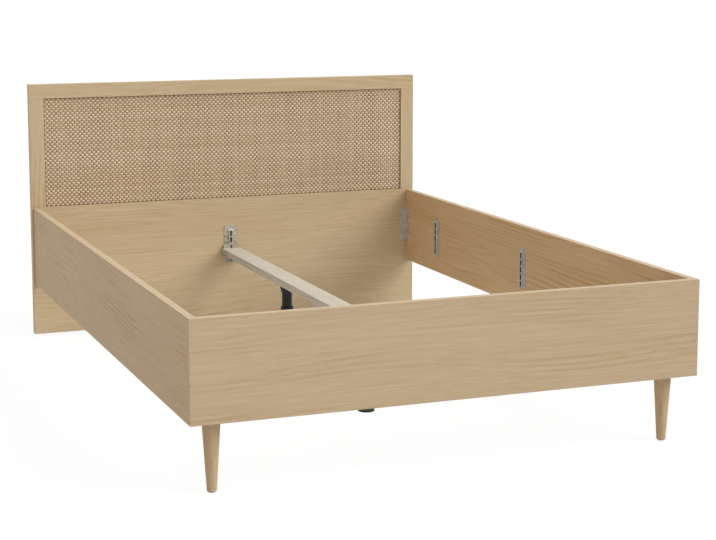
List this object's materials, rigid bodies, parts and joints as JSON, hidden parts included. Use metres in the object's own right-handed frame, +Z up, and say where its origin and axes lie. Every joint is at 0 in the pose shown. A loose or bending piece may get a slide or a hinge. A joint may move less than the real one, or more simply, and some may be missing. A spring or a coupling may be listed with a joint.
{
  "type": "double bed frame",
  "caption": "Low double bed frame with oak-look boards, tapered front legs, a framed woven-rattan headboard and a centre beam on screw-adjustable legs.",
  "frame": {"origin": "on the floor, at the middle of the whole width and length", "axes": "+X to the right seen from the foot, +Y towards the headboard, +Z up"},
  "size_m": [1.484, 2.082, 0.915],
  "materials": {
    "oak_laminate": "light oak decor with a fine straight grain, silk matt",
    "oak_solid": "turned oak, clear matt lacquer",
    "hardboard": "plain brown fibreboard",
    "rattan": "natural woven cane, matt",
    "beech": "raw beech",
    "pine": "planed raw pine",
    "zinc_steel": "bright zinc plated sheet and wire",
    "black_plastic": "moulded, finely grained",
    "pad_rubber": "matt black rubber",
    "glide_plastic": "natural white polyethylene"
  },
  "bodies": {
    "frame": {"headboard_lower_board": "oak_laminate", "headboard_top_rail": "oak_laminate", "headboard_left_stile": "oak_laminate", "headboard_right_stile": "oak_laminate", "left_side_rail": "oak_laminate", "right_side_rail": "oak_laminate", "footboard": "oak_laminate", "front_left_leg": "oak_solid", "front_right_leg": "oak_solid", "headboard_back_panel": "hardboard", "rattan_panel": "rattan", "headboard_dowels": "beech", "rail_dowels": "beech", "left_leg_block": "beech", "right_leg_block": "beech", "centre_beam": "pine", "head_left_corner_angle": "zinc_steel", "head_right_corner_angle": "zinc_steel", "foot_left_corner_angle": "zinc_steel", "foot_right_corner_angle": "zinc_steel", "corner_angle_screws": "zinc_steel", "headboard_panel_screws": "zinc_steel", "leg_block_screws": "zinc_steel", "leg_block_inserts": "zinc_steel", "front_leg_hanger_bolts": "zinc_steel", "centre_leg_studs": "zinc_steel", "slat_strip_screws": "zinc_steel", "beam_head_hanger": "zinc_steel", "beam_foot_hanger": "zinc_steel", "beam_hanger_screws": "zinc_steel", "beam_head_shoe": "zinc_steel", "beam_foot_shoe": "zinc_steel", "beam_shoe_screws": "zinc_steel", "left_head_slat_strip": "zinc_steel", "left_middle_slat_strip": "zinc_steel", "left_foot_slat_strip": "zinc_steel", "right_head_slat_strip": "zinc_steel", "right_middle_slat_strip": "zinc_steel", "right_foot_slat_strip": "zinc_steel", "head_centre_leg_tube": "black_plastic", "foot_centre_leg_tube": "black_plastic", "headboard_glides": "glide_plastic", "front_leg_glides": "glide_plastic"},
    "head_centre_leg_collar": {"head_centre_leg_collar": "black_plastic"},
    "head_centre_leg_foot": {"head_centre_leg_spindle": "black_plastic", "head_centre_leg_pad": "pad_rubber"},
    "foot_centre_leg_collar": {"foot_centre_leg_collar": "black_plastic"},
    "foot_centre_leg_foot": {"foot_centre_leg_spindle": "black_plastic", "foot_centre_leg_pad": "pad_rubber"}
  },
  "joints": [
    {"name": "head_centre_leg_collar_turn", "type": "hinge", "parent": "frame", "child": "head_centre_leg_collar", "pos_m": [0, 0.35903, 0.177], "axis": [0, 0, 1], "range_deg": [-1440, 1440]},
    {"name": "head_centre_leg_foot_slide", "type": "slide", "parent": "frame", "child": "head_centre_leg_foot", "axis": [0, 0, 1], "range_m": [-0.02, 0.02]},
    {"name": "foot_centre_leg_collar_turn", "type": "hinge", "parent": "frame", "child": "foot_centre_leg_collar", "pos_m": [0, -0.37612, 0.177], "axis": [0, 0, 1], "range_deg": [-1440, 1440]},
    {"name": "foot_centre_leg_foot_slide", "type": "slide", "parent": "frame", "child": "foot_centre_leg_foot", "axis": [0, 0, 1], "range_m": [-0.02, 0.02]}
  ],
  "couplings": [
    {"joint": "head_centre_leg_collar_turn", "follows": "head_centre_leg_foot_slide", "rad_per_m": -1256.6},
    {"joint": "foot_centre_leg_collar_turn", "follows": "foot_centre_leg_foot_slide", "rad_per_m": -1256.6}
  ]
}
